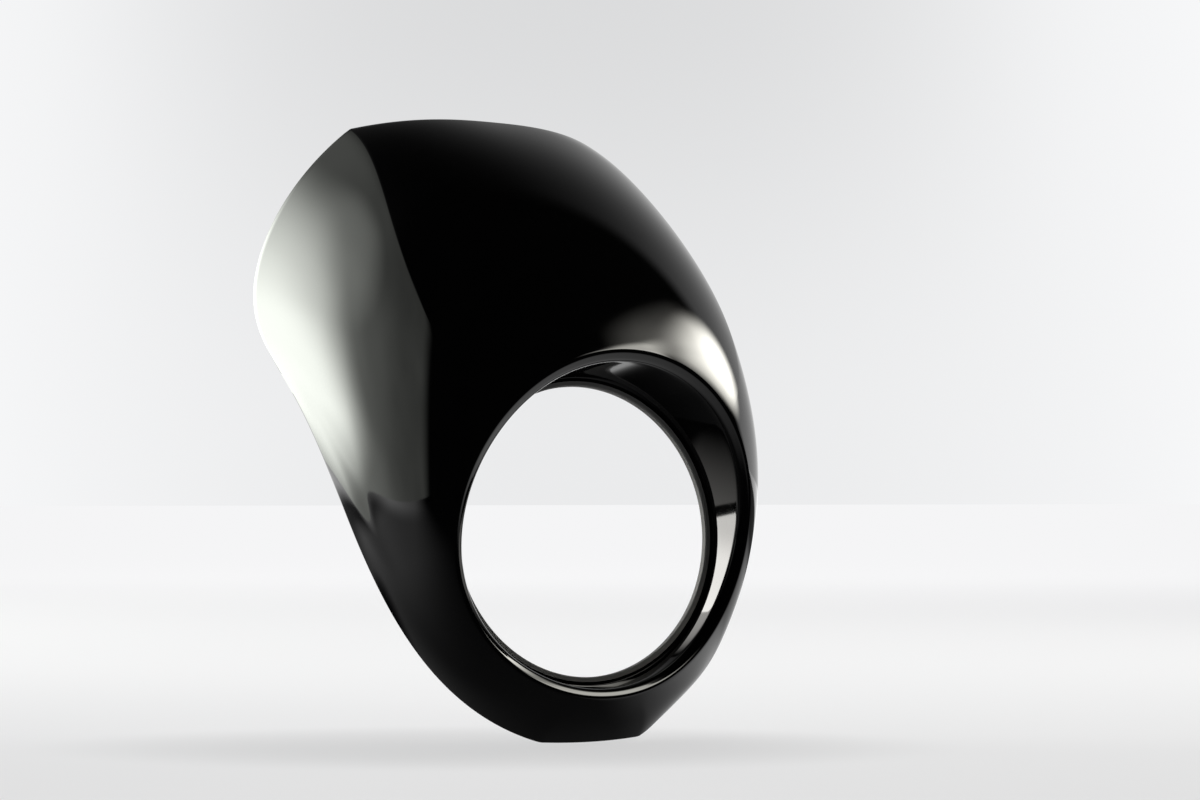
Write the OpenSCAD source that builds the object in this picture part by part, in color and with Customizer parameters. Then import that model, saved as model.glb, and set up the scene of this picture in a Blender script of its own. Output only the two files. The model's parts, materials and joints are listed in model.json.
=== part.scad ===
// Motorcycle semi-fairing: one moulded shell that wraps a round headlight.
//
// Frame: the lamp axis is the Y axis and the lamp looks along -Y. The origin is the
// centre of the rear face of the lamp seat. X is across the motorcycle, Z is up.
// All sizes are millimetres.
//
// The outer skin is a loft. One end is the rim line round the lamp, the other end is the
// outline of the shell: top edge, side edge and toe. Both ends share one angle "a", read
// at the rim from straight up, so every rim point owns one outline point. A cubic curve
// joins the two. It leaves the rim at a set rake and meets the outline at a set pull.

/* [Lamp seat] */
// Outside diameter of the lamp body that sits in the seat
lamp_d = 182; // [150:1:190]
// Gap left all round the lamp body
lamp_gap = 1; // [0.5:0.25:2]
// Depth of the seat along the lamp axis
seat_depth = 5; // [3.5:0.5:8]
// Width of the ledge in front of the seat
ledge_w = 5.4; // [4:0.2:8]
// Lead-in chamfer on the seat
seat_chamfer = 0.8; // [0.4:0.1:1.2]
// How far the flange stands out behind the tunnel wall
flange_over = 0.8; // [0.5:0.1:4]

/* [Tunnel and rim] */
// Growth of the tunnel radius from the ledge to the rim land
tunnel_taper = 2.6; // [1.5:0.1:5]
// Radial width of the rim land
land_w = 5.9; // [3.5:0.1:8]
// How far the land falls back towards the tunnel
land_fall = 4.2; // [2:0.1:5]
// Forward reach of the rim at the top
rim_top = 66.5; // [50:0.5:80]
// Forward reach of the rim at the sides
rim_side = 33.6; // [28:0.5:42]
// Forward reach of the rim at the bottom
rim_low = 25.1; // [22:0.5:35]
// Extra roundness of the rim line at the shoulders
rim_swell = 2.4; // [0:0.1:5]
// Reach of the rounded rim edge, top
roll_top = 1.8; // [1:0.1:4]
// Reach of the rounded rim edge, sides
roll_side = 2; // [1:0.1:4]
// Reach of the rounded rim edge, bottom
roll_low = 4.8; // [1:0.1:6]

/* [Shell] */
// Wall thickness of the moulding
wall = 3; // [2:0.25:4]

/* [Top edge] */
// Half width at the top corners
corner_x = 96; // [80:1:110]
// Setback of the top corners
corner_y = 116; // [100:1:130]
// Height of the top corners
corner_z = 279; // [265:1:295]
// Setback of the middle of the top edge
brow_y = 91; // [75:1:105]
// Height of the middle of the top edge
brow_z = 286; // [276:1:300]
// Squareness of the arch along the top edge
brow_power = 2.6; // [2:0.1:3.4]

/* [Side edge] */
// Sideways pull below the top corner
upper_x = 172; // [150:1:190]
// Rearward pull below the top corner
upper_y = 218; // [200:1:235]
// Height of the pull below the top corner
upper_z = 207.5; // [195:0.5:220]
// Sideways pull at the wing
wing_x = 131; // [115:1:150]
// Rearward pull at the wing
wing_y = 261; // [240:1:280]
// Height of the pull at the wing
wing_z = 63.5; // [50:0.5:80]
// Sideways pull at the waist
waist_x = 126; // [110:1:145]
// Rearward pull at the waist
waist_y = 4; // [-10:1:25]
// Height of the pull at the waist
waist_z = 205.5; // [190:0.5:220]
// Sideways pull above the toe
lower_x = 194; // [175:1:210]
// Rearward pull above the toe
lower_y = 68; // [55:1:85]
// Height of the pull above the toe
lower_z = -72.5; // [-85:0.5:-60]

/* [Toe] */
// Half width of the straight toe
toe_x = 36.5; // [28:0.5:46]
// Setback of the toe corners
toe_y = 1; // [-6:0.5:10]
// Height of the toe corners
toe_z = -131; // [-145:0.5:-127]
// Setback of the middle of the toe
toe_mid_y = -1; // [-8:0.5:8]
// Height of the middle of the toe
toe_mid_z = -132.5; // [-148:0.5:-128]

/* [Loft] */
// Rim angle that feeds the top corner and its crease
crease_a = 49.7; // [40:0.5:60]
// Rim angle that feeds the toe corner
toe_a = 166; // [155:0.5:170]
// Even or biased spread of the side edge over the rim
spread = 0.12; // [-0.2:0.02:0.4]
// Rake at the rim, top
rake_top = 18; // [8:1:35]
// Rake at the rim, sides
rake_side = 31; // [15:1:50]
// Rake at the rim, bottom
rake_low = 35; // [15:1:50]
// Reach of the rake, top
hold_top = 0.5; // [0.3:0.01:0.6]
// Reach of the rake, sides
hold_side = 0.2; // [0.12:0.01:0.35]
// Reach of the rake, bottom
hold_low = 0.4; // [0.25:0.01:0.5]
// Sideways share of the pull at the outline, top
flare_top = 0.8; // [0.2:0.05:1.2]
// Sideways share of the pull at the outline, sides
flare_side = -0.1; // [-0.4:0.05:0.5]
// Sideways share of the pull at the outline, bottom
flare_low = 0; // [-0.4:0.05:0.6]
// Rearward share of the pull at the outline, top
sweep_top = 0.7; // [0.3:0.05:1]
// Rearward share of the pull at the outline, sides
sweep_side = 0.8; // [0.4:0.05:1.2]
// Rearward share of the pull at the outline, bottom
sweep_low = 0.3; // [0:0.05:0.7]
// Reach of the pull, top
pull_top = 0.1; // [0.06:0.01:0.25]
// Reach of the pull, sides
pull_side = 0.5; // [0.3:0.01:0.6]
// Reach of the pull, bottom
pull_low = 0.5; // [0.3:0.01:0.6]

/* [Hidden] */
bore_r = lamp_d / 2 + lamp_gap;
root_r = bore_r + ledge_w;
land_r = root_r + tunnel_taper;
rim_r = land_r + land_w;
flange_r = root_r + wall + flange_over;

// Columns of the loft from the top middle to the crease, the toe corner and the toe middle
cols_top = 14;
cols_side = 30;
cols_toe = 6;
cols = cols_top + cols_side + cols_toe;
ring = 2 * cols;
// Rows of the loft on the outer and on the inner skin
rows_out = 20;
rows_in = 10;
// Steps of the rounded rim edge
rows_roll = 4;

shell_colour = [0.02, 0.02, 0.022];

function unit(v) = v / norm(v);

// Smooth value round half the rim from its values at the top, the side and the bottom
function around(top, side, low, a) =
    (top + low + 2 * side) / 4
    + (top - low) / 2 * cos(a)
    + (top + low - 2 * side) / 4 * cos(2 * a);

// Rim angle of a column: even steps inside each of the three spans
function col_angle(i) =
    i <= cols_top ? crease_a * i / cols_top
    : i <= cols_top + cols_side ? crease_a + (toe_a - crease_a) * (i - cols_top) / cols_side
    : toe_a + (180 - toe_a) * (i - cols_top - cols_side) / cols_toe;

function rim_y(a) =
    -around(rim_top, rim_side, rim_low, a) + rim_swell * (cos(3 * a) - cos(a));

function at_rim(r, y, a) = [r * sin(a), y, r * cos(a)];

// The side edge is one smooth curve pulled by four points
function side_edge(t) =
    let (u = 1 - t)
    pow(u, 5) * [corner_x, corner_y, corner_z]
    + 5 * pow(u, 4) * t * [upper_x, upper_y, upper_z]
    + 10 * pow(u, 3) * pow(t, 2) * [wing_x, wing_y, wing_z]
    + 10 * pow(u, 2) * pow(t, 3) * [waist_x, waist_y, waist_z]
    + 5 * u * pow(t, 4) * [lower_x, lower_y, lower_z]
    + pow(t, 5) * [toe_x, toe_y, toe_z];

function top_edge(t) =
    [corner_x * t,
     brow_y + (corner_y - brow_y) * pow(t, brow_power),
     brow_z + (corner_z - brow_z) * pow(t, brow_power)];

function toe_edge(t) =
    [toe_x * t,
     toe_mid_y + (toe_y - toe_mid_y) * t * t,
     toe_mid_z + (toe_z - toe_mid_z) * t * t];

function outline(a) =
    a <= crease_a ? top_edge(a / crease_a)
    : a < toe_a ? let (t = (a - crease_a) / (toe_a - crease_a)) side_edge(t + spread * t * (1 - t))
    : toe_edge((180 - a) / (180 - toe_a));

// A point of the outer skin: t is 0 on the rim and 1 on the outline
function skin(a, t) =
    let (start = at_rim(rim_r, rim_y(a), a),
         end = outline(a),
         span = norm(end - start),
         dir = (end - start) / span,
         rake = around(rake_top, rake_side, rake_low, a),
         leave = [sin(a) * cos(rake), sin(rake), cos(a) * cos(rake)],
         flare = around(flare_top, flare_side, flare_low, a),
         sweep = around(sweep_top, sweep_side, sweep_low, a),
         arrive = unit([dir[0] * flare, dir[1] + sweep, dir[2]]),
         p1 = start + leave * span * around(hold_top, hold_side, hold_low, a),
         p2 = end - arrive * span * around(pull_top, pull_side, pull_low, a),
         u = 1 - t)
    u * u * u * start + 3 * u * u * t * p1 + 3 * u * t * t * p2 + t * t * t * end;

// Column i of the whole ring: the second half is the mirror image of the first
function whole(i) = let (k = (i + ring) % ring) k <= cols ? k : ring - k;
function hand(i) = let (k = (i + ring) % ring) k <= cols ? 1 : -1;
function mirrored(p, s) = [p[0] * s, p[1], p[2]];

function ring_skin(i, t) = mirrored(skin(col_angle(whole(i)), t), hand(i));

// Outward direction of the skin, from its neighbours on both sides
function outward(i, t) =
    let (step = 0.02,
         t0 = max(0, t - step),
         t1 = min(1, t + step),
         across = ring_skin(i + 1, t) - ring_skin(i - 1, t),
         along = ring_skin(i, t1) - ring_skin(i, t0))
    unit(cross(across, along));

function inner_skin(i, t) = ring_skin(i, t) - wall * outward(i, t);

// The rim edge rolls over from the skin to the land by this reach on each side
function roll(a) =
    min(around(roll_top, roll_side, roll_low, a), 0.75 * norm([land_w, land_fall]));

// Share of the skin curve that the rolled edge takes up
function roll_share(a) =
    let (start = at_rim(rim_r, rim_y(a), a),
         hold = around(hold_top, hold_side, hold_low, a))
    roll(a) / (3 * hold * norm(outline(a) - start));

function bend(before, corner, after, t) =
    (1 - t) * (1 - t) * before + 2 * t * (1 - t) * corner + t * t * after;

// Closed section of one column: outer skin, rolled rim, land, tunnel wall, inner skin
function section(i) =
    let (a = col_angle(whole(i)),
         s = hand(i),
         y = rim_y(a),
         t0 = roll_share(a),
         rim = ring_skin(i, 0),
         land = mirrored(at_rim(land_r, y + land_fall, a), s),
         landed = rim + unit(land - rim) * roll(a))
    concat(
        [for (j = [rows_out:-1:1]) ring_skin(i, t0 + (1 - t0) * pow(j / rows_out, 1.2))],
        [for (j = [0:rows_roll]) bend(ring_skin(i, t0), rim, landed, j / rows_roll)],
        [land,
         mirrored(at_rim(root_r, -seat_depth / 2, a), s),
         mirrored(at_rim(root_r + wall, -seat_depth / 2, a), s),
         mirrored(at_rim(land_r + wall, y + land_fall + wall, a), s)],
        [for (j = [0:rows_in]) inner_skin(i, 0.04 + 0.96 * j / rows_in)]
    );

loop = rows_out + rows_roll + rows_in + 6;

// Two triangles for each patch; the diagonal swaps over with the mirrored half
function patch(i, k) =
    let (a = i * loop + k,
         b = i * loop + (k + 1) % loop,
         c = ((i + 1) % ring) * loop + (k + 1) % loop,
         d = ((i + 1) % ring) * loop + k)
    i < cols ? [[a, c, b], [a, d, c]] : [[a, d, b], [b, d, c]];

module moulded_skin() {
    points = [for (i = [0:ring - 1]) each section(i)];
    faces = [for (i = [0:ring - 1]) for (k = [0:loop - 1]) each patch(i, k)];
    polyhedron(points = points, faces = faces, convexity = 8);
}

// Flange behind the tunnel with the lamp seat bored through it
module lamp_seat() {
    rotate([-90, 0, 0])
        rotate_extrude($fn = 180)
            polygon([
                [bore_r, 0],
                [bore_r, seat_chamfer - seat_depth],
                [bore_r + seat_chamfer, -seat_depth],
                [flange_r, -seat_depth],
                [flange_r, 0]
            ]);
}

module fairing_shell() {
    color(shell_colour)
        union() {
            moulded_skin();
            lamp_seat();
        }
}

fairing_shell();
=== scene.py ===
"""A motorcycle semi-fairing in gloss black, with its studio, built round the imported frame."""

import json
import math

import bmesh
import bpy
from mathutils import Matrix, Vector


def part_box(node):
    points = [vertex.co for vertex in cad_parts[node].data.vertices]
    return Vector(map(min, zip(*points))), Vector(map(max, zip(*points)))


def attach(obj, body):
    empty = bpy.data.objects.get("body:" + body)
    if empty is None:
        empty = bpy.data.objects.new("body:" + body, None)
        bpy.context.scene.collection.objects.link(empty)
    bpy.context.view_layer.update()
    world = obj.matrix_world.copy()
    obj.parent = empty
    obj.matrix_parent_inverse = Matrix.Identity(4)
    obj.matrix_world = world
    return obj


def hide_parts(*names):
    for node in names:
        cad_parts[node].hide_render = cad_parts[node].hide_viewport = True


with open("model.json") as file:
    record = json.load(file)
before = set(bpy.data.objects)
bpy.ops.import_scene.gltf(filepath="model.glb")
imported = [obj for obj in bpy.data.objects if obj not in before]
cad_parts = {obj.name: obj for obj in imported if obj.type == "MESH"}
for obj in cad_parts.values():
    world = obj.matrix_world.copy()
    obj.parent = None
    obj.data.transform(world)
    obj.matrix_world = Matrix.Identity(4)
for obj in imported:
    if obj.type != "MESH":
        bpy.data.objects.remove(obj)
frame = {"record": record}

bl_info = {
    "name": "Motorcycle semi-fairing",
    "version": (1, 0, 0),
    "blender": (4, 5, 0),
    "location": "View3D > Sidebar > Semi-fairing",
    "description": "Builds a gloss black headlight fairing and the studio it stands in",
    "category": "Add Mesh",
}

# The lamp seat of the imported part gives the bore's radius and the depth of its wall, in mm
LAMP_SEAT = frame["record"]["mounts"][0]["dims"]
LOW_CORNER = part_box("fairing_shell")[0]
# The light cards stand round this point, in metres
CARD_CENTRE = (0, 0.06, 0)


def length(name, millimetres, description):
    return bpy.props.FloatProperty(
        name=name, description=description, default=millimetres / 1000, unit="LENGTH", precision=4
    )


def angle(name, degrees, description):
    return bpy.props.FloatProperty(
        name=name, description=description, default=math.radians(degrees), subtype="ANGLE"
    )


def share(name, value, description):
    return bpy.props.FloatProperty(name=name, description=description, default=value)


def count(name, value, description):
    return bpy.props.IntProperty(name=name, description=description, default=value, min=1)


def colour(name, value, description):
    return bpy.props.FloatVectorProperty(
        name=name, description=description, default=value, size=3, subtype="COLOR", min=0, max=1
    )


class FairingShape(bpy.types.PropertyGroup):
    """Sizes of the moulding; the lamp looks along -Y and Z is up."""

    bore: length("Lamp bore", LAMP_SEAT["r_mm"], "Radius of the lamp seat")
    seat_depth: length("Seat depth", LAMP_SEAT["length_mm"] + 0.8, "Seat wall and its chamfer")
    ledge: length("Ledge", 5.4, "Width of the ledge in front of the seat")
    seat_chamfer: length("Seat chamfer", 0.8, "Lead-in chamfer of the seat")
    flange_over: length("Flange", 0.8, "How far the flange stands out behind the tunnel")
    taper: length("Tunnel taper", 2.6, "Growth of the tunnel radius towards the rim")
    land: length("Land width", 5.9, "Radial width of the rim land")
    land_fall: length("Land fall", 4.2, "How far the land falls back towards the tunnel")
    land_fall_low: length("Land fall at the bottom", 2.4, "The same at the bottom of the rim")
    rim_top: length("Rim top", 66.5, "Forward reach of the rim at the top")
    rim_side: length("Rim side", 33.6, "Forward reach of the rim at the sides")
    rim_low: length("Rim bottom", 25.1, "Forward reach of the rim at the bottom")
    rim_swell: length("Rim swell", 2.4, "Extra roundness of the rim line at the shoulders")
    wall: length("Wall", 3, "Thickness of the moulding")

    corner: bpy.props.FloatVectorProperty(
        name="Top corner", description="Right top corner of the outline",
        default=(0.096, 0.116, 0.279), size=3, subtype="XYZ", unit="LENGTH",
    )
    brow: bpy.props.FloatVectorProperty(
        name="Brow", description="Middle of the top edge",
        default=(0, 0.091, 0.286), size=3, subtype="XYZ", unit="LENGTH",
    )
    brow_power: share("Brow power", 2.6, "Squareness of the arch along the top edge")
    upper_pull: bpy.props.FloatVectorProperty(
        name="Upper pull", description="Pull on the side edge below the top corner",
        default=(0.172, 0.218, 0.2075), size=3, subtype="XYZ", unit="LENGTH",
    )
    wing_pull: bpy.props.FloatVectorProperty(
        name="Wing pull", description="Pull on the side edge at the wing",
        default=(0.131, 0.261, 0.0635), size=3, subtype="XYZ", unit="LENGTH",
    )
    waist_pull: bpy.props.FloatVectorProperty(
        name="Waist pull", description="Pull on the side edge at the waist",
        default=(0.126, 0.004, 0.2055), size=3, subtype="XYZ", unit="LENGTH",
    )
    lower_pull: bpy.props.FloatVectorProperty(
        name="Lower pull", description="Pull on the side edge above the toe",
        default=(0.194, 0.068, -0.0725), size=3, subtype="XYZ", unit="LENGTH",
    )
    toe: bpy.props.FloatVectorProperty(
        name="Toe corner", description="Right corner of the straight toe",
        default=(0.0365, 0.001, -0.131), size=3, subtype="XYZ", unit="LENGTH",
    )
    toe_middle: bpy.props.FloatVectorProperty(
        name="Toe middle", description="Middle of the toe",
        default=(0, -0.001, -0.1325), size=3, subtype="XYZ", unit="LENGTH",
    )

    crease_angle: angle("Crease angle", 49.7, "Rim angle that feeds the top corner")
    toe_angle: angle("Toe angle", 166, "Rim angle that feeds the toe corner")
    spread: share("Spread", 0.12, "Bias of the side edge over the rim")
    crease_softness: angle("Crease softness", 0.5, "Rounding of the outline at its corners")

    rake_top: angle("Rake top", 18, "Rake of the skin at the top of the rim")
    rake_side: angle("Rake side", 31, "Rake of the skin at the sides of the rim")
    rake_low: angle("Rake bottom", 35, "Rake of the skin at the bottom of the rim")
    hold: bpy.props.FloatVectorProperty(
        name="Hold", description="Reach of the rake at the top, the side and the bottom",
        default=(0.5, 0.2, 0.4), size=3,
    )
    flare: bpy.props.FloatVectorProperty(
        name="Flare", description="Sideways share of the pull at the outline: top, side, bottom",
        default=(0.8, -0.1, 0.0), size=3,
    )
    sweep: bpy.props.FloatVectorProperty(
        name="Sweep", description="Rearward share of the pull at the outline: top, side, bottom",
        default=(0.7, 0.8, 0.3), size=3,
    )
    pull: bpy.props.FloatVectorProperty(
        name="Pull", description="Reach of the pull at the outline: top, side, bottom",
        default=(0.1, 0.5, 0.5), size=3,
    )

    roll_top: length("Roll top", 1.8, "Reach of the rolled rim edge at the top")
    roll_side: length("Roll side", 2, "Reach of the rolled rim edge at the sides")
    roll_low: length("Roll bottom", 2.2, "Reach of the rolled rim edge at the bottom")
    land_round: length("Land round", 2.4, "Rounding where the land meets the tunnel")
    edge_round: length("Edge round", 0.7, "Rounding of the trimmed outline")
    root_round: length("Root round", 0.6, "Rounding in the tunnel's inner corners")

    top_columns: count("Top columns", 54, "Columns of faces from the top middle to the crease")
    side_columns: count("Side columns", 118, "Columns of faces along the side edge")
    toe_columns: count("Toe columns", 22, "Columns of faces along half of the toe")
    skin_rows: count("Skin rows", 64, "Rows of faces on the outer skin")
    roll_rows: count("Roll rows", 9, "Rows of faces on the rolled rim edge")
    lining_rows: count("Lining rows", 30, "Rows of faces on the inner skin")
    tunnel_rows: count("Tunnel rows", 12, "Rows of faces along the tunnel")


class FairingFinish(bpy.types.PropertyGroup):
    """Colour and gloss of the moulding."""

    black: colour("Black", (0.0009, 0.0009, 0.001), "Colour of the pigmented gloss surface")
    cut_black: colour("Cut edge", (0.07, 0.07, 0.068), "Colour of the matt trimmed seat wall")
    cut_ring: length("Cut ring", 3.1, "Width of the matt ring beside the seat")
    cut_roughness: share("Cut roughness", 0.5, "Extra roughness of the matt seat wall")
    gloss_roughness: share("Roughness", 0.035, "Roughness of the polished surface")
    ripple: length("Ripple", 0.035, "Depth of the slow waves in the moulded surface")
    ripple_size: length("Ripple size", 70, "Spacing of the slow waves")


class StudioSettings(bpy.types.PropertyGroup):
    """Camera, floor and light cards."""

    azimuth: angle("Azimuth", -31.7, "Camera bearing; 0 looks along +Y")
    elevation: angle("Elevation", -6.8, "Camera height above the lamp axis")
    roll: angle("Roll", -2.7, "Roll of the camera")
    distance: share("Distance", 1.5, "Distance from the camera to its aim, in metres")
    aim: bpy.props.FloatVectorProperty(
        name="Aim", description="Point at the middle of the picture",
        default=(0.0199, 0.0019, 0.0844), size=3, subtype="XYZ", unit="LENGTH",
    )
    lens: share("Lens", 70, "Focal length in millimetres on a 36 mm sensor")
    table_tip: angle("Table tip", 5.17, "Tip of the table, because the shell leans back on its toe")
    table_colour: colour("Table", (0.99, 0.99, 1.0), "Colour of the pale table")
    table_light: share("Table light", 0.79, "Brightness of the pale table in the picture")
    paper_colour: colour("Backdrop", (0.985, 0.99, 1.0), "Colour of the pale backdrop")
    card_distance: share("Card distance", 1.3, "Distance of the big cards, in metres")
    scrim_bearing: angle("Scrim bearing", -115, "Direction of the left scrim")
    softbox_bearing: angle("Softbox bearing", 60, "Direction of the right softbox")
    scrim_colour: colour("Scrim", (0.965, 1.0, 0.93), "Colour of the light on the left")
    softbox_colour: colour("Softbox", (1.0, 0.98, 0.9), "Colour of the light on the right")


def around(values, a):
    """Smooth value round half the rim from its values at the top, the side and the bottom."""
    top, side, low = values
    return (
        (top + low + 2 * side) / 4
        + (top - low) / 2 * math.cos(a)
        + (top + low - 2 * side) / 4 * math.cos(2 * a)
    )


def rim_y(s, a):
    reach = around((s.rim_top, s.rim_side, s.rim_low), a)
    return -reach + s.rim_swell * (math.cos(3 * a) - math.cos(a))


def at_rim(r, y, a):
    return Vector((r * math.sin(a), y, r * math.cos(a)))


def side_edge(s, t):
    """The side edge: one smooth curve pulled by four points."""
    points = (s.corner, s.upper_pull, s.wing_pull, s.waist_pull, s.lower_pull, s.toe)
    degree = len(points) - 1
    total = Vector((0, 0, 0))
    for i, p in enumerate(points):
        total += math.comb(degree, i) * t**i * (1 - t) ** (degree - i) * Vector(p)
    return total


def arch(middle, end, t, power):
    lift = t**power
    return Vector((end[0] * t, middle[1] + (end[1] - middle[1]) * lift,
                   middle[2] + (end[2] - middle[2]) * lift))


def sharp_outline(s, a):
    if a <= s.crease_angle:
        return arch(s.brow, s.corner, a / s.crease_angle, s.brow_power)
    if a < s.toe_angle:
        t = (a - s.crease_angle) / (s.toe_angle - s.crease_angle)
        return side_edge(s, t + s.spread * t * (1 - t))
    return arch(s.toe_middle, s.toe, (math.pi - a) / (math.pi - s.toe_angle), 2)


def outline(s, a):
    """Outline point of a rim angle, with the corners eased a little."""
    for corner_angle in (s.crease_angle, s.toe_angle):
        reach = s.crease_softness - abs(a - corner_angle)
        if reach > 0:
            before = sharp_outline(s, a - reach)
            after = sharp_outline(s, a + reach)
            return (before + 2 * sharp_outline(s, a) + after) / 4
    return sharp_outline(s, a)


def skin_curve(s, a):
    """The four control points of the outer skin over one rim angle."""
    start = at_rim(s.bore + s.ledge + s.taper + s.land, rim_y(s, a), a)
    end = outline(s, a)
    span = (end - start).length
    way = (end - start) / span
    rake = around((s.rake_top, s.rake_side, s.rake_low), a)
    leave = Vector((math.sin(a) * math.cos(rake), math.sin(rake), math.cos(a) * math.cos(rake)))
    arrive = Vector((way.x * around(s.flare, a), way.y + around(s.sweep, a), way.z)).normalized()
    return (start, start + leave * span * around(s.hold, a),
            end - arrive * span * around(s.pull, a), end)


def on_curve(curve, t):
    u = 1 - t
    return u**3 * curve[0] + 3 * u * u * t * curve[1] + 3 * u * t * t * curve[2] + t**3 * curve[3]


def skin(s, a, t):
    """Point of the outer skin; rim angles past the middle plane give the mirrored half."""
    if a < 0 or a > math.pi:
        p = skin(s, -a if a < 0 else 2 * math.pi - a, t)
        return Vector((-p.x, p.y, p.z))
    return on_curve(skin_curve(s, a), t)


def outward(s, a, t):
    """Outward direction of the skin, from its neighbours on both sides."""
    turn, step = math.radians(0.4), 0.01
    across = skin(s, a + turn, t) - skin(s, a - turn, t)
    along = skin(s, a, min(1, t + step)) - skin(s, a, max(0, t - step))
    return across.cross(along).normalized()


def rounded(before, corner, after, reach, steps):
    """Points of a soft corner that starts and ends at the given reach from it."""
    a, c = before, corner + (after - corner).normalized() * reach
    if (before - corner).length >= 1.2 * reach:
        a = corner + (before - corner).normalized() * reach
    points = []
    for i in range(steps + 1):
        t = i / steps
        points.append((1 - t) ** 2 * a + 2 * t * (1 - t) * corner + t * t * c)
    return points


def steps_between(a, b, number):
    return [a.lerp(b, i / number) for i in range(1, number)]


def section(s, a):
    """Closed section of the moulding over one rim angle."""
    curve = skin_curve(s, a)
    start, end = curve[0], curve[3]
    roll = around((s.roll_top, s.roll_side, s.roll_low), a)
    first = roll / (3 * (curve[1] - start).length)
    last = 1 - s.edge_round / (3 * (end - curve[2]).length)
    outer = [on_curve(curve, last + (first - last) * i / s.skin_rows)
             for i in range(s.skin_rows + 1)]

    root_r = s.bore + s.ledge
    land_r = root_r + s.taper
    y = start.y
    lowness = ((1 - math.cos(a)) / 2) ** 10
    fall = s.land_fall + (s.land_fall_low - s.land_fall) * lowness
    land = at_rim(land_r, y + fall, a)
    root = at_rim(root_r, -s.seat_depth, a)
    rim = rounded(outer[-1], start, land, roll, s.roll_rows)[1:]
    land_edge = rounded(start, land, root, s.land_round, 7)
    lead = at_rim(s.bore + s.seat_chamfer, -s.seat_depth, a)
    root_corner = rounded(land, root, lead, s.root_round, 2)
    seat = [lead, at_rim(s.bore, s.seat_chamfer - s.seat_depth, a), at_rim(s.bore, -0.0004, a),
            at_rim(s.bore + 0.0004, 0, a)]
    flange_r = root_r + s.wall + s.flange_over
    flange = [at_rim(flange_r - 0.0004, 0, a), at_rim(flange_r, -0.0004, a),
              at_rim(flange_r, -s.seat_depth, a)]
    back_root = at_rim(root_r + s.wall, -s.seat_depth, a)
    back_land = at_rim(land_r + s.wall, y + s.land_fall + s.wall, a)
    inner_first = 0.04
    lining = []
    for i in range(s.lining_rows + 1):
        t = inner_first + (last - inner_first) * i / s.lining_rows
        lining.append(on_curve(curve, t) - s.wall * outward(s, a, t))
    inner_end = end - s.wall * outward(s, a, 1)
    inner_lip = rounded(lining[-1], inner_end, end, s.edge_round, 2)[1:]
    outer_lip = rounded(inner_end, end, outer[0], s.edge_round, 3)[:-1]

    return (
        outer + rim
        + steps_between(rim[-1], land_edge[0], 3) + land_edge
        + steps_between(land_edge[-1], root_corner[0], s.tunnel_rows) + root_corner
        + seat + flange + [back_root]
        + steps_between(back_root, back_land, 4) + [back_land]
        + lining + inner_lip + outer_lip
    )


def column_angles(s):
    """Rim angles of half the moulding, even inside each span and closer beside the crease."""
    spans = (
        (0, s.crease_angle, s.top_columns),
        (s.crease_angle, s.toe_angle, s.side_columns),
        (s.toe_angle, math.pi, s.toe_columns),
    )
    angles = [0.0]
    for low, high, number in spans:
        for i in range(1, number + 1):
            t = i / number
            if high == s.crease_angle:
                t = 1 - (1 - t) ** 1.4
            if low == s.crease_angle:
                t -= 0.04 * math.sin(2 * math.pi * t)
            angles.append(low + (high - low) * t)
    return angles


def shell_mesh(s):
    """Half of the moulding from a flat grid that is wrapped round its section, then mirrored."""
    angles = column_angles(s)
    sections = [section(s, a) for a in angles]
    columns, loop = len(sections) - 1, len(sections[0])
    bm = bmesh.new()
    bmesh.ops.create_grid(bm, x_segments=columns, y_segments=loop, size=0.5)
    for v in bm.verts:
        i = round((v.co.x + 0.5) * columns)
        j = round((v.co.y + 0.5) * loop)
        v.co = sections[i][j % loop]
        if i in (0, columns):
            v.co.x = 0
    bmesh.ops.remove_doubles(bm, verts=bm.verts, dist=1e-7)
    bmesh.ops.mirror(bm, geom=bm.verts[:] + bm.edges[:] + bm.faces[:], axis="X", merge_dist=1e-6)
    bmesh.ops.remove_doubles(bm, verts=bm.verts, dist=1e-7)
    bmesh.ops.recalc_face_normals(bm, faces=bm.faces)
    for f in bm.faces:
        f.smooth = True
    for e in bm.edges:
        if len(e.link_faces) == 2 and e.calc_face_angle(0) > math.radians(32):
            e.smooth = False
    return bm


def new_object(name, bm):
    mesh = bpy.data.meshes.new(name)
    bm.to_mesh(mesh)
    bm.free()
    made = bpy.data.objects.new(name, mesh)
    bpy.context.collection.objects.link(made)
    return made


def shader_nodes(material):
    material.use_nodes = True
    tree = material.node_tree
    tree.nodes.clear()
    return tree, tree.nodes, tree.links


def group_tree(name, inputs, outputs):
    tree = bpy.data.node_groups.new(name, "ShaderNodeTree")
    for label, kind, value in inputs:
        socket = tree.interface.new_socket(name=label, in_out="INPUT", socket_type=kind)
        if value is not None:
            socket.default_value = value
    for label, kind in outputs:
        tree.interface.new_socket(name=label, in_out="OUTPUT", socket_type=kind)
    return tree, tree.nodes.new("NodeGroupInput"), tree.nodes.new("NodeGroupOutput")


def math_node(tree, operation, a, b, clamp=False):
    node = tree.nodes.new("ShaderNodeMath")
    node.operation = operation
    node.use_clamp = clamp
    for socket, value in zip(node.inputs, (a, b)):
        if isinstance(value, bpy.types.NodeSocket):
            tree.links.new(value, socket)
        else:
            socket.default_value = value
    return node.outputs[0]


def product(tree, *values):
    result = values[0]
    for value in values[1:]:
        result = math_node(tree, "MULTIPLY", result, value)
    return result


def total(tree, *values):
    result = values[0]
    for value in values[1:]:
        result = math_node(tree, "ADD", result, value)
    return result


def difference(tree, a, b):
    return math_node(tree, "SUBTRACT", a, b)


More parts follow.
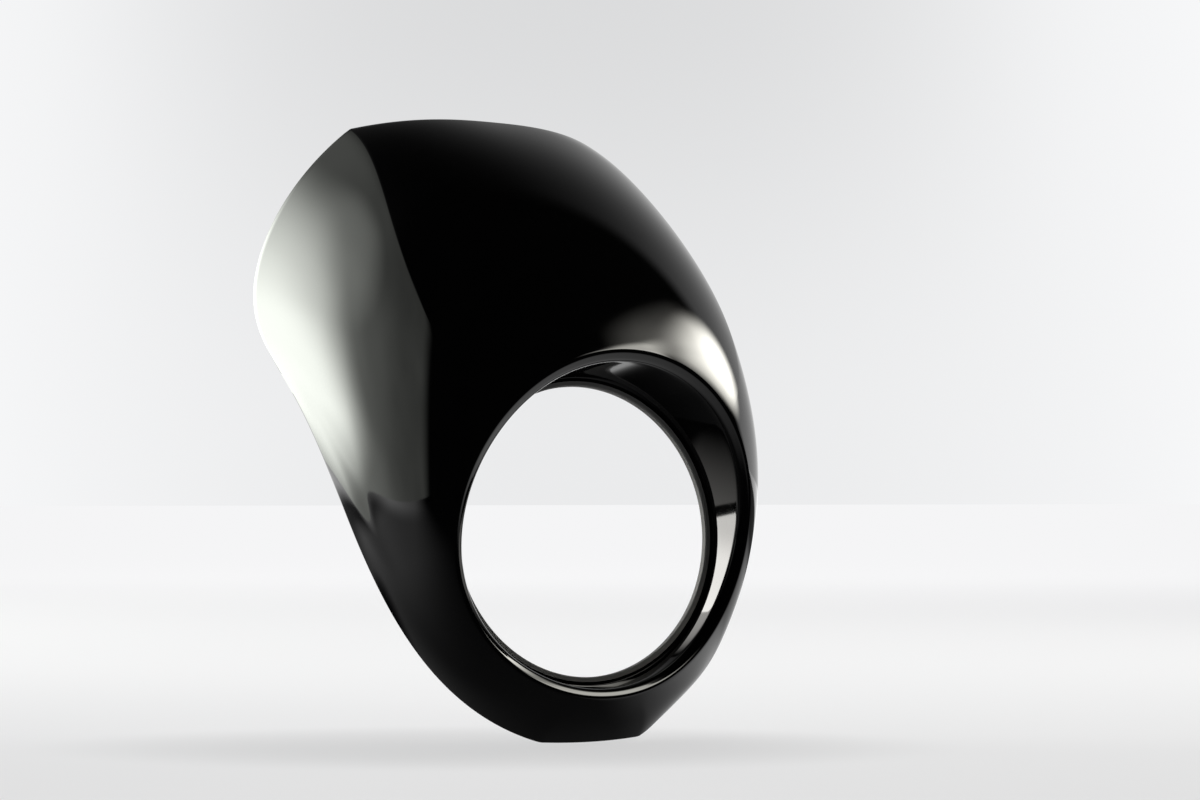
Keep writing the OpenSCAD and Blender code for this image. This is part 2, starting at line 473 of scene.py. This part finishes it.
def fade_in(tree, value, low, high):
    """Rises smoothly from 0 at the low value to 1 at the high one."""
    node = tree.nodes.new("ShaderNodeMapRange")
    node.interpolation_type = "SMOOTHSTEP"
    node.inputs["From Min"].default_value = low
    node.inputs["From Max"].default_value = high
    tree.links.new(value, node.inputs["Value"])
    return node.outputs["Result"]


def fade_out(tree, value, low, high):
    return difference(tree, 1.0, fade_in(tree, value, low, high))


def hot_spot(tree, u, v, centre, size):
    """Falls from 1 at the centre to 0 at the given half sizes."""
    du = math_node(tree, "DIVIDE", difference(tree, u, centre[0]), size[0])
    dv = math_node(tree, "DIVIDE", difference(tree, v, centre[1]), size[1])
    return fade_out(tree, total(tree, product(tree, du, du), product(tree, dv, dv)), 0, 1)


def noise(tree, vector, scale, detail):
    node = tree.nodes.new("ShaderNodeTexNoise")
    node.inputs["Detail"].default_value = detail
    tree.links.new(vector, node.inputs["Vector"])
    if isinstance(scale, bpy.types.NodeSocket):
        tree.links.new(scale, node.inputs["Scale"])
    else:
        node.inputs["Scale"].default_value = scale
    return node.outputs["Fac"]


def moulded_wave_group():
    """Slow waves of a moulded wall with a faint fine grain, as a height from 0 to 1."""
    tree, given, out = group_tree(
        "moulded wave",
        [("Vector", "NodeSocketVector", None), ("Waves per metre", "NodeSocketFloat", 14.0),
         ("Grain", "NodeSocketFloat", 0.01)],
        [("Height", "NodeSocketFloat")],
    )
    slow = noise(tree, given.outputs["Vector"], given.outputs["Waves per metre"], 1.0)
    fine = noise(tree, given.outputs["Vector"], 900.0, 2.0)
    grain = product(tree, fine, given.outputs["Grain"])
    tree.links.new(total(tree, slow, grain), out.inputs["Height"])
    return tree


def handling_group():
    """Faint wiping marks and dust, as a mask from 0 to 1."""
    tree, given, out = group_tree(
        "handling marks",
        [("Vector", "NodeSocketVector", None), ("Amount", "NodeSocketFloat", 0.5)],
        [("Mask", "NodeSocketFloat")],
    )
    stretch = tree.nodes.new("ShaderNodeMapping")
    stretch.inputs["Scale"].default_value = (4, 30, 9)
    stretch.inputs["Rotation"].default_value = (0.3, 0.5, 0.2)
    tree.links.new(given.outputs["Vector"], stretch.inputs["Vector"])
    wipes = noise(tree, stretch.outputs["Vector"], 3.0, 4.0)
    dust = noise(tree, given.outputs["Vector"], 420.0, 1.0)
    specks = math_node(tree, "GREATER_THAN", dust, 0.74)
    both = math_node(tree, "ADD", wipes, product(tree, specks, 0.5), clamp=True)
    tree.links.new(product(tree, both, given.outputs["Amount"]), out.inputs["Mask"])
    return tree


def trimmed_edge_group():
    """Mask of the trimmed lamp seat and the ring beside it, from radius and depth."""
    tree, given, out = group_tree(
        "trimmed edge",
        [("Vector", "NodeSocketVector", None), ("Radius", "NodeSocketFloat", 0.0951),
         ("Front", "NodeSocketFloat", -0.0056)],
        [("Mask", "NodeSocketFloat")],
    )
    split = tree.nodes.new("ShaderNodeSeparateXYZ")
    tree.links.new(given.outputs["Vector"], split.inputs["Vector"])
    x, y, z = split.outputs["X"], split.outputs["Y"], split.outputs["Z"]
    radius = math_node(tree, "SQRT", total(tree, product(tree, x, x), product(tree, z, z)), 0.0)
    inside = math_node(tree, "LESS_THAN", radius, given.outputs["Radius"])
    behind = math_node(tree, "GREATER_THAN", y, given.outputs["Front"])
    tree.links.new(product(tree, inside, behind), out.inputs["Mask"])
    return tree


def gloss_black(shape, finish, waves, marks, trimmed):
    """Polished black moulding: dark pigment under a clear, slightly wavy surface."""
    material = bpy.data.materials.new("polished black moulding")
    tree, nodes, links = shader_nodes(material)
    out = nodes.new("ShaderNodeOutputMaterial")
    shader = nodes.new("ShaderNodeBsdfPrincipled")
    shader.inputs["IOR"].default_value = 1.5
    links.new(shader.outputs["BSDF"], out.inputs["Surface"])
    place = nodes.new("ShaderNodeTexCoord").outputs["Object"]

    wave = nodes.new("ShaderNodeGroup")
    wave.node_tree = waves
    wave.inputs["Waves per metre"].default_value = 1 / finish.ripple_size
    wave.inputs["Grain"].default_value = 0.012
    links.new(place, wave.inputs["Vector"])
    bump = nodes.new("ShaderNodeBump")
    bump.inputs["Strength"].default_value = 1.0
    bump.inputs["Distance"].default_value = finish.ripple
    links.new(wave.outputs["Height"], bump.inputs["Height"])
    links.new(bump.outputs["Normal"], shader.inputs["Normal"])

    mark = nodes.new("ShaderNodeGroup")
    mark.node_tree = marks
    mark.inputs["Amount"].default_value = 0.03
    links.new(place, mark.inputs["Vector"])
    cut = nodes.new("ShaderNodeGroup")
    cut.node_tree = trimmed
    cut.inputs["Radius"].default_value = shape.bore + finish.cut_ring
    cut.inputs["Front"].default_value = -shape.seat_depth - 0.0006
    links.new(place, cut.inputs["Vector"])
    matt = product(tree, cut.outputs["Mask"], finish.cut_roughness)
    links.new(total(tree, mark.outputs["Mask"], finish.gloss_roughness, matt),
              shader.inputs["Roughness"])

    tint = nodes.new("ShaderNodeMix")
    tint.data_type = "RGBA"
    tint.inputs[6].default_value = (*finish.black, 1)
    tint.inputs[7].default_value = (0.02, 0.02, 0.022, 1)
    links.new(mark.outputs["Mask"], tint.inputs[0])
    raw = nodes.new("ShaderNodeMix")
    raw.data_type = "RGBA"
    raw.inputs[7].default_value = (*finish.cut_black, 1)
    links.new(cut.outputs["Mask"], raw.inputs[0])
    links.new(tint.outputs[2], raw.inputs[6])
    links.new(raw.outputs[2], shader.inputs["Base Color"])
    return material


def card(name, bearing, distance, width, height, tint, strength_of, kind):
    """A standing light card. Its shader reads u and v in metres: along it and height.

    A solid card hides what is behind it and a sheer one adds to it. A one-sided card is solid
    from its inner side and can't be seen from its outer side.
    """
    centre = Vector(CARD_CENTRE)
    out = Vector((math.sin(bearing), -math.cos(bearing), 0))
    along = Vector((math.cos(bearing), math.sin(bearing), 0))
    bm = bmesh.new()
    bmesh.ops.create_grid(bm, x_segments=1, y_segments=1, size=0.5)
    for v in bm.verts:
        u = width[0] + (width[1] - width[0]) * (v.co.x + 0.5)
        z = height[0] + (height[1] - height[0]) * (v.co.y + 0.5)
        v.co = centre + out * distance + along * u + Vector((0, 0, z))
    made = new_object(name, bm)
    material = bpy.data.materials.new(name)
    tree, nodes, links = shader_nodes(material)
    surface = nodes.new("ShaderNodeOutputMaterial").inputs["Surface"]
    glow = nodes.new("ShaderNodeEmission")
    glow.inputs["Color"].default_value = (*tint, 1)
    if kind == "SOLID":
        links.new(glow.outputs["Emission"], surface)
    else:
        both = nodes.new("ShaderNodeAddShader" if kind == "SHEER" else "ShaderNodeMixShader")
        links.new(nodes.new("ShaderNodeBsdfTransparent").outputs["BSDF"], both.inputs[-2])
        links.new(glow.outputs["Emission"], both.inputs[-1])
        links.new(both.outputs["Shader"], surface)
    if kind == "ONE_SIDED":
        links.new(nodes.new("ShaderNodeNewGeometry").outputs["Backfacing"], both.inputs[0])
    place = nodes.new("ShaderNodeTexCoord").outputs["Object"]
    turn = nodes.new("ShaderNodeVectorRotate")
    turn.rotation_type = "Z_AXIS"
    turn.inputs["Angle"].default_value = -bearing
    turn.inputs["Center"].default_value = CARD_CENTRE
    links.new(place, turn.inputs["Vector"])
    split = nodes.new("ShaderNodeSeparateXYZ")
    links.new(turn.outputs["Vector"], split.inputs["Vector"])
    folds = total(tree, product(tree, noise(tree, place, 2.2, 1.5), 0.5), 0.75)
    strength = strength_of(tree, split.outputs["X"], split.outputs["Z"])
    links.new(product(tree, strength, folds), glow.inputs["Strength"])
    made.data.materials.append(material)
    made.visible_camera = False
    made.visible_shadow = False
    return made


def left_scrim_strength(tree, u, v):
    """A lamp behind the far end of the scrim, its glow along the cloth and a second, upper glow."""
    lean = total(tree, u, product(tree, difference(tree, v, 0.3), 0.5))
    lifted = math_node(tree, "MAXIMUM", total(tree, u, 0.75), 0.0)
    low = difference(tree, v, product(tree, lifted, 0.25))
    far_foot = product(tree, fade_out(tree, u, -1.3, -0.8), fade_out(tree, v, 0.1, 0.5), 0.3)
    lamp = product(tree, fade_out(tree, lean, -0.86, -0.16), fade_in(tree, low, -0.06, 0.24),
                   fade_out(tree, v, 0.7, 1.4), difference(tree, 1.0, far_foot), 6.4)
    upper = product(tree, hot_spot(tree, u, v, (-0.5, 1.0), (0.5, 0.42)), 0.9)
    glow = product(tree, fade_out(tree, u, -0.55, 0.6), fade_out(tree, v, 0.55, 1.15), 0.65)
    cloth = product(tree, fade_out(tree, v, 0.8, 1.2), 0.21)
    cloth = product(tree, total(tree, glow, cloth, 0.53), fade_out(tree, u, 0.86, 1.22),
                    fade_out(tree, v, 1.5, 2.4))
    return total(tree, lamp, upper, cloth)


def right_softbox_strength(tree, u, v):
    """A softbox with rounded ends, and the narrow tail that it throws to the upper left."""
    low_edge = total(tree, v, product(tree, difference(tree, u, 0.7), 0.5))
    above_middle = difference(tree, v, 0.65)
    far_edge = total(tree, u, product(tree, above_middle, above_middle, 2.8))
    main = product(tree, fade_in(tree, u, -0.3, 0.55), fade_out(tree, far_edge, 0.72, 1.18),
                   fade_in(tree, low_edge, 0.26, 0.56), fade_out(tree, v, 0.7, 1.12), 13.0)
    line = total(tree, v, product(tree, u, 0.3), -0.9)
    tail = product(tree, fade_in(tree, line, -0.14, -0.04), fade_out(tree, line, 0.0, 0.1),
                   fade_in(tree, u, -1.1, -0.6), fade_out(tree, u, -0.3, 0.1), 7.5)
    below = product(tree, fade_in(tree, v, 0.58, 0.78), fade_out(tree, line, -0.14, -0.04),
                    fade_in(tree, u, -1.4, -0.5), fade_out(tree, u, -0.28, -0.05), 9.5)
    haze = product(tree, fade_in(tree, line, -0.05, 0.05), fade_out(tree, line, 0.05, 0.45),
                   fade_in(tree, u, -0.9, -0.2), fade_out(tree, u, 0.3, 0.75), 1.3)
    return total(tree, main, tail, below, haze)


def inner_card_strength(tree, u, v):
    """Lit table, the dark gap behind it and a bright lamp above: only the tunnel mirrors them."""
    # The gap runs aslant over the strip that the wall mirrors
    aside = math_node(tree, "MAXIMUM", total(tree, u, 0.028), -0.005)
    slant = total(tree, v, product(tree, math_node(tree, "MINIMUM", aside, 0.02), 0.44))
    near = math_node(tree, "MAXIMUM", product(tree, total(tree, v, 0.075), 14.0), 0.0)
    table = product(tree, near, near, fade_out(tree, slant, -0.0055, -0.0045), 1.25)
    lamp = product(tree, fade_in(tree, slant, 0.0022, 0.0032), fade_out(tree, v, 0.078, 0.08),
                   total(tree, product(tree, fade_in(tree, v, 0.005, 0.03), 5.0), 10.0))
    above = product(tree, fade_in(tree, v, 0.078, 0.08), fade_out(tree, v, 0.07, 0.19), 4.6)
    # Past this curve only the lamp seat would mirror the card, and it stays dark
    seat_side = total(tree, u, product(tree, v, v, 4.0))
    return product(tree, total(tree, table, lamp, above), fade_in(tree, seat_side, -0.064, -0.052))


class SEMIFAIRING_OT_shell(bpy.types.Operator):
    """Build the moulded shell with its crease, rim, stepped tunnel and lamp seat"""

    bl_idname = "semifairing.shell"
    bl_label = "Moulded shell"

    def execute(self, context):
        shape = context.scene.fairing_shape
        finish = context.scene.fairing_finish
        shell = new_object("gloss_fairing_shell", shell_mesh(shape))
        shell.data.materials.append(gloss_black(
            shape, finish, moulded_wave_group(), handling_group(), trimmed_edge_group()))
        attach(shell, "root")
        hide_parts("fairing_shell")
        return {"FINISHED"}


class SEMIFAIRING_OT_studio(bpy.types.Operator):
    """Set up the pale table, the backdrop, the light cards and the camera"""

    bl_idname = "semifairing.studio"
    bl_label = "Studio"

    def execute(self, context):
        studio = context.scene.fairing_studio
        table = self.table(studio)
        away = studio.card_distance
        scrim = card("left_scrim", studio.scrim_bearing, away, (-1.9, 1.3), (-0.3, 2.4),
                     studio.scrim_colour, left_scrim_strength, "SOLID")
        softbox = card("right_softbox", studio.softbox_bearing, away, (-1.8, 1.2), (0.1, 1.9),
                       studio.softbox_colour, right_softbox_strength, "SHEER")
        # This one stands edge on to the camera, so that only the right tunnel wall mirrors it
        inner = card("inner_card", studio.azimuth - math.pi / 2, 0.029, (-0.2, 0.01), (-0.08, 0.2),
                     (1, 0.98, 0.94), inner_card_strength, "ONE_SIDED")
        inner.visible_diffuse = False
        self.overhead()
        self.camera(context, studio)
        self.backdrop(context, studio)
        context.scene.view_settings.view_transform = "Standard"
        return {"FINISHED"}

    def table(self, studio):
        bm = bmesh.new()
        bmesh.ops.create_grid(bm, x_segments=1, y_segments=1, size=1.0)
        bmesh.ops.scale(bm, vec=(40, 21, 1), verts=bm.verts)
        bmesh.ops.translate(bm, vec=(0, 19, 0), verts=bm.verts)
        bmesh.ops.rotate(bm, cent=(0, 0, 0), matrix=Matrix.Rotation(studio.table_tip, 3, "X"),
                         verts=bm.verts)
        bmesh.ops.translate(bm, vec=(0, 0, LOW_CORNER.z - 0.0006), verts=bm.verts)
        made = new_object("pale_table", bm)
        material = bpy.data.materials.new("pale table")
        tree, nodes, links = shader_nodes(material)
        out = nodes.new("ShaderNodeOutputMaterial")
        place = nodes.new("ShaderNodeTexCoord").outputs["Object"]
        split = nodes.new("ShaderNodeSeparateXYZ")
        links.new(place, split.inputs["Vector"])
        path = nodes.new("ShaderNodeLightPath")
        x, y = split.outputs["X"], split.outputs["Y"]
        # The table is nearly white and a little darker in front of the toe: painted light brightens
        # it far away, and painted shade darkens its front, a band along the toe and a patch under the
        # shell
        depth = total(tree, product(tree, x, 0.525), product(tree, y, 0.85))
        across = total(tree, product(tree, x, 0.85), product(tree, y, -0.525))
        # Painted light far away, painted shade towards the front and along the toe
        far = fade_in(tree, depth, 1.4, 3.2)
        front = fade_out(tree, depth, -0.45, 0.75)
        crease = fade_out(tree, depth, -0.06, 0.07)
        # A painted shadow of the shell under its toe
        under = hot_spot(tree, across, depth, (-0.06, -0.02), (0.3, 0.14))
        bright = total(tree, studio.table_light, product(tree, far, 0.12), product(tree, front, -0.1),
                       product(tree, crease, -0.02), product(tree, under, -0.11))
        diffuse = nodes.new("ShaderNodeBsdfDiffuse")
        diffuse.inputs["Color"].default_value = (0.12, 0.12, 0.12, 1)
        paper = nodes.new("ShaderNodeEmission")
        paper.inputs["Color"].default_value = (*studio.table_colour, 1)
        links.new(bright, paper.inputs["Strength"])
        seen = nodes.new("ShaderNodeAddShader")
        links.new(diffuse.outputs["BSDF"], seen.inputs[0])
        links.new(paper.outputs["Emission"], seen.inputs[1])
        # The shell mirrors the lit rear half of the table and the dark room in front of it; seen only
        # in reflections, the table glows with painted pools of light and has a painted shadow behind
        # the shell
        mirrored = nodes.new("ShaderNodeEmission")
        lit = fade_in(tree, y, -0.3, 0.12)
        near_scrim = product(tree, fade_out(tree, x, -1.15, -0.72), fade_in(tree, y, -0.5, 0.9), 1.1)
        middle = product(tree, fade_out(tree, x, -0.42, -0.1), fade_out(tree, y, 0.6, 0.95), 0.32)
        far = product(tree, fade_in(tree, y, 1.1, 1.6), 1.5)
        right = product(tree, fade_in(tree, x, 0.05, 0.25), fade_out(tree, x, 0.6, 1.1), 0.62)
        # A painted shadow of the shell on the table behind it
        shaded = difference(tree, 1.0, hot_spot(tree, x, y, (0.06, 0.37), (0.32, 0.25)))
        shaded = product(tree, shaded, shaded)
        # A painted pool of light on the table beside the toe
        painted_light_by_toe = product(tree, hot_spot(tree, x, y, (0.2, -0.1), (0.2, 0.26)), 0.7)
        glare = product(tree, hot_spot(tree, x, y, (0.65, 0.95), (0.4, 0.5)), 0.9)
        rear = product(tree, lit, shaded, total(tree, near_scrim, middle, far, right, glare, 0.08))
        links.new(total(tree, rear, painted_light_by_toe), mirrored.inputs["Strength"])
        mix = nodes.new("ShaderNodeMixShader")
        links.new(path.outputs["Is Glossy Ray"], mix.inputs[0])
        links.new(seen.outputs["Shader"], mix.inputs[1])
        links.new(mirrored.outputs["Emission"], mix.inputs[2])
        links.new(mix.outputs["Shader"], out.inputs["Surface"])
        made.data.materials.append(material)
        return made

    def overhead(self):
        light = bpy.data.lights.new("overhead_softbox", "AREA")
        light.shape = "RECTANGLE"
        light.size, light.size_y = 1.6, 1.2
        light.energy = 9
        made = bpy.data.objects.new("overhead_softbox", light)
        made.location = (0.1, 0.5, 1.6)
        made.rotation_euler = (math.radians(-14), 0, 0)
        made.visible_glossy = False
        bpy.context.collection.objects.link(made)
        return made

    def camera(self, context, studio):
        data = bpy.data.cameras.new("camera")
        data.lens = studio.lens
        data.sensor_width = 36
        made = bpy.data.objects.new("camera", data)
        a, e, r = studio.azimuth, studio.elevation, studio.roll
        back = Vector((math.sin(a) * math.cos(e), -math.cos(a) * math.cos(e), math.sin(e)))
        level = Vector((math.cos(a), math.sin(a), 0))
        up = back.cross(level)
        right = math.cos(r) * level + math.sin(r) * up
        top = -math.sin(r) * level + math.cos(r) * up
        made.matrix_world = Matrix.Translation(Vector(studio.aim) + back * studio.distance) @ Matrix(
            (right, top, back)
        ).transposed().to_4x4()
        context.collection.objects.link(made)
        context.scene.camera = made
        return made

    def backdrop(self, context, studio):
        world = bpy.data.worlds.new("pale studio")
        context.scene.world = world
        world.use_nodes = True
        tree = world.node_tree
        nodes, links = tree.nodes, tree.links
        nodes.clear()
        out = nodes.new("ShaderNodeOutputWorld")
        path = nodes.new("ShaderNodeLightPath")
        place = nodes.new("ShaderNodeTexCoord").outputs["Generated"]
        split = nodes.new("ShaderNodeSeparateXYZ")
        links.new(place, split.inputs["Vector"])
        # Paper sweep behind the shell, dark room in front of it and above
        behind = fade_in(tree, split.outputs["Y"], 0.0, 0.14)
        low = math_node(tree, "SUBTRACT", 1.0, split.outputs["Z"], clamp=True)
        room = nodes.new("ShaderNodeBackground")
        links.new(product(tree, behind, math_node(tree, "POWER", low, 1.5), 1.3),
                  room.inputs["Strength"])
        # The paper is lighter at both sides and darker above the shell: painted light at the sides
        # and painted shade above
        across = nodes.new("ShaderNodeVectorMath")
        across.operation = "DOT_PRODUCT"
        across.inputs[1].default_value = (0.854, -0.52, 0)
        links.new(place, across.inputs[0])
        # side brings painted light to both sides; above brings painted shade over the shell
        side = product(tree, across.outputs["Value"], across.outputs["Value"])
        above = product(tree, fade_in(tree, split.outputs["Z"], 0.1, 0.3),
                        fade_out(tree, side, 0, 0.05))
        paper = nodes.new("ShaderNodeBackground")
        paper.inputs["Color"].default_value = (*studio.paper_colour, 1)
        links.new(total(tree, 0.84, product(tree, side, 1.5), product(tree, above, -0.12)),
                  paper.inputs["Strength"])
        mix = nodes.new("ShaderNodeMixShader")
        links.new(path.outputs["Is Camera Ray"], mix.inputs[0])
        links.new(room.outputs["Background"], mix.inputs[1])
        links.new(paper.outputs["Background"], mix.inputs[2])
        links.new(mix.outputs["Shader"], out.inputs["Surface"])


class SEMIFAIRING_PT_panel(bpy.types.Panel):
    """Sidebar panel with the builders and their settings"""

    bl_idname = "SEMIFAIRING_PT_panel"
    bl_label = "Semi-fairing"
    bl_space_type = "VIEW_3D"
    bl_region_type = "UI"
    bl_category = "Semi-fairing"

    def draw(self, context):
        layout = self.layout
        layout.operator(SEMIFAIRING_OT_shell.bl_idname)
        layout.operator(SEMIFAIRING_OT_studio.bl_idname)
        for settings in (context.scene.fairing_shape, context.scene.fairing_finish,
                         context.scene.fairing_studio):
            box = layout.box()
            for key in settings.__annotations__:
                box.prop(settings, key)


CLASSES = (
    FairingShape,
    FairingFinish,
    StudioSettings,
    SEMIFAIRING_OT_shell,
    SEMIFAIRING_OT_studio,
    SEMIFAIRING_PT_panel,
)


def register():
    for c in CLASSES:
        bpy.utils.register_class(c)
    bpy.types.Scene.fairing_shape = bpy.props.PointerProperty(type=FairingShape)
    bpy.types.Scene.fairing_finish = bpy.props.PointerProperty(type=FairingFinish)
    bpy.types.Scene.fairing_studio = bpy.props.PointerProperty(type=StudioSettings)


def unregister():
    del bpy.types.Scene.fairing_studio
    del bpy.types.Scene.fairing_finish
    del bpy.types.Scene.fairing_shape
    for c in reversed(CLASSES):
        bpy.utils.unregister_class(c)


def main():
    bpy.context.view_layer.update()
    register()
    bpy.ops.semifairing.shell()
    bpy.ops.semifairing.studio()
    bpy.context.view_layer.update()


if __name__ == "__main__":
    main()
